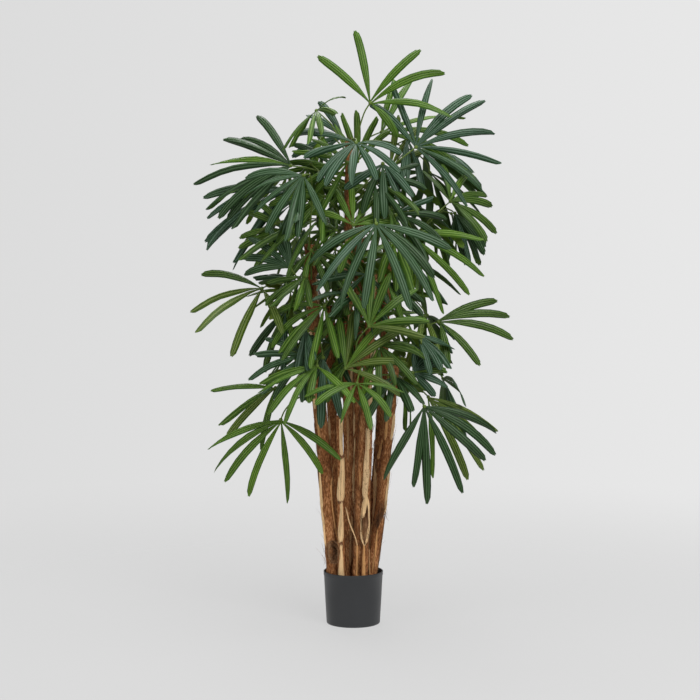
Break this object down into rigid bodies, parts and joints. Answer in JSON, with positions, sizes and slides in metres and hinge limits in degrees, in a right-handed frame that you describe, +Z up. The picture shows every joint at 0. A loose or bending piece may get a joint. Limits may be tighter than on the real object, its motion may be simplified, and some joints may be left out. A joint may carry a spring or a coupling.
{
  "type": "artificial lady palm in a pot",
  "caption": "Tall artificial lady palm: a clump of brown fibre-wrapped stems in a small round black plastic pot, with fan-shaped fronds of long blunt leaflets on slim stalks.",
  "frame": {"origin": "centre of the pot's flat underside", "axes": "+Z up along the plant, -Y towards the viewer of the picture, +X to that viewer's right"},
  "size_m": [0.9952, 0.9229, 1.7779],
  "materials": {
    "pot_plastic": "charcoal black moulded plastic, satin",
    "pot_fill": "dark, rough cast filling",
    "stem_fibre": "brown palm fibre wrap, matte",
    "sheath_straw": "pale dry leaf sheath, matte",
    "leaf_dark": "dark blue-green printed leaf cloth, satin",
    "leaf_bright": "fresh green printed leaf cloth, satin"
  },
  "bodies": {
    "root": {"fill": "pot_fill", "frond_01": "leaf_bright", "frond_02": "leaf_dark", "frond_03": "leaf_bright", "frond_04": "leaf_dark", "frond_05": "leaf_dark", "frond_06": "leaf_dark", "frond_07": "leaf_dark", "frond_08": "leaf_dark", "frond_09": "leaf_dark", "frond_10": "leaf_bright", "frond_11": "leaf_bright", "frond_12": "leaf_dark", "frond_13": "leaf_dark", "frond_14": "leaf_dark", "frond_15": "leaf_bright", "frond_16": "leaf_bright", "frond_17": "leaf_dark", "frond_18": "leaf_bright", "frond_19": "leaf_dark", "frond_20": "leaf_bright", "frond_21": "leaf_bright", "frond_22": "leaf_dark", "frond_23": "leaf_bright", "frond_24": "leaf_dark", "frond_25": "leaf_dark", "frond_26": "leaf_dark", "frond_27": "leaf_bright", "frond_28": "leaf_dark", "frond_29": "leaf_bright", "frond_30": "leaf_bright", "frond_31": "leaf_bright", "frond_32": "leaf_bright", "frond_33": "leaf_dark", "frond_34": "leaf_dark", "frond_35": "leaf_dark", "frond_36": "leaf_bright", "frond_37": "leaf_dark", "frond_38": "leaf_dark", "frond_39": "leaf_bright", "frond_40": "leaf_dark", "frond_41": "leaf_dark", "frond_42": "leaf_bright", "frond_43": "leaf_dark", "frond_44": "leaf_dark", "frond_45": "leaf_bright", "frond_46": "leaf_dark", "pot": "pot_plastic", "stem_back": "stem_fibre", "stem_centre": "stem_fibre", "stem_centre_right": "stem_fibre", "stem_left": "stem_fibre", "stem_left_back": "stem_fibre", "stem_pale_left": "sheath_straw", "stem_pale_right": "sheath_straw", "stem_right": "stem_fibre", "stem_right_back": "stem_fibre", "stem_stub_back": "stem_fibre"}
  },
  "joints": []
}
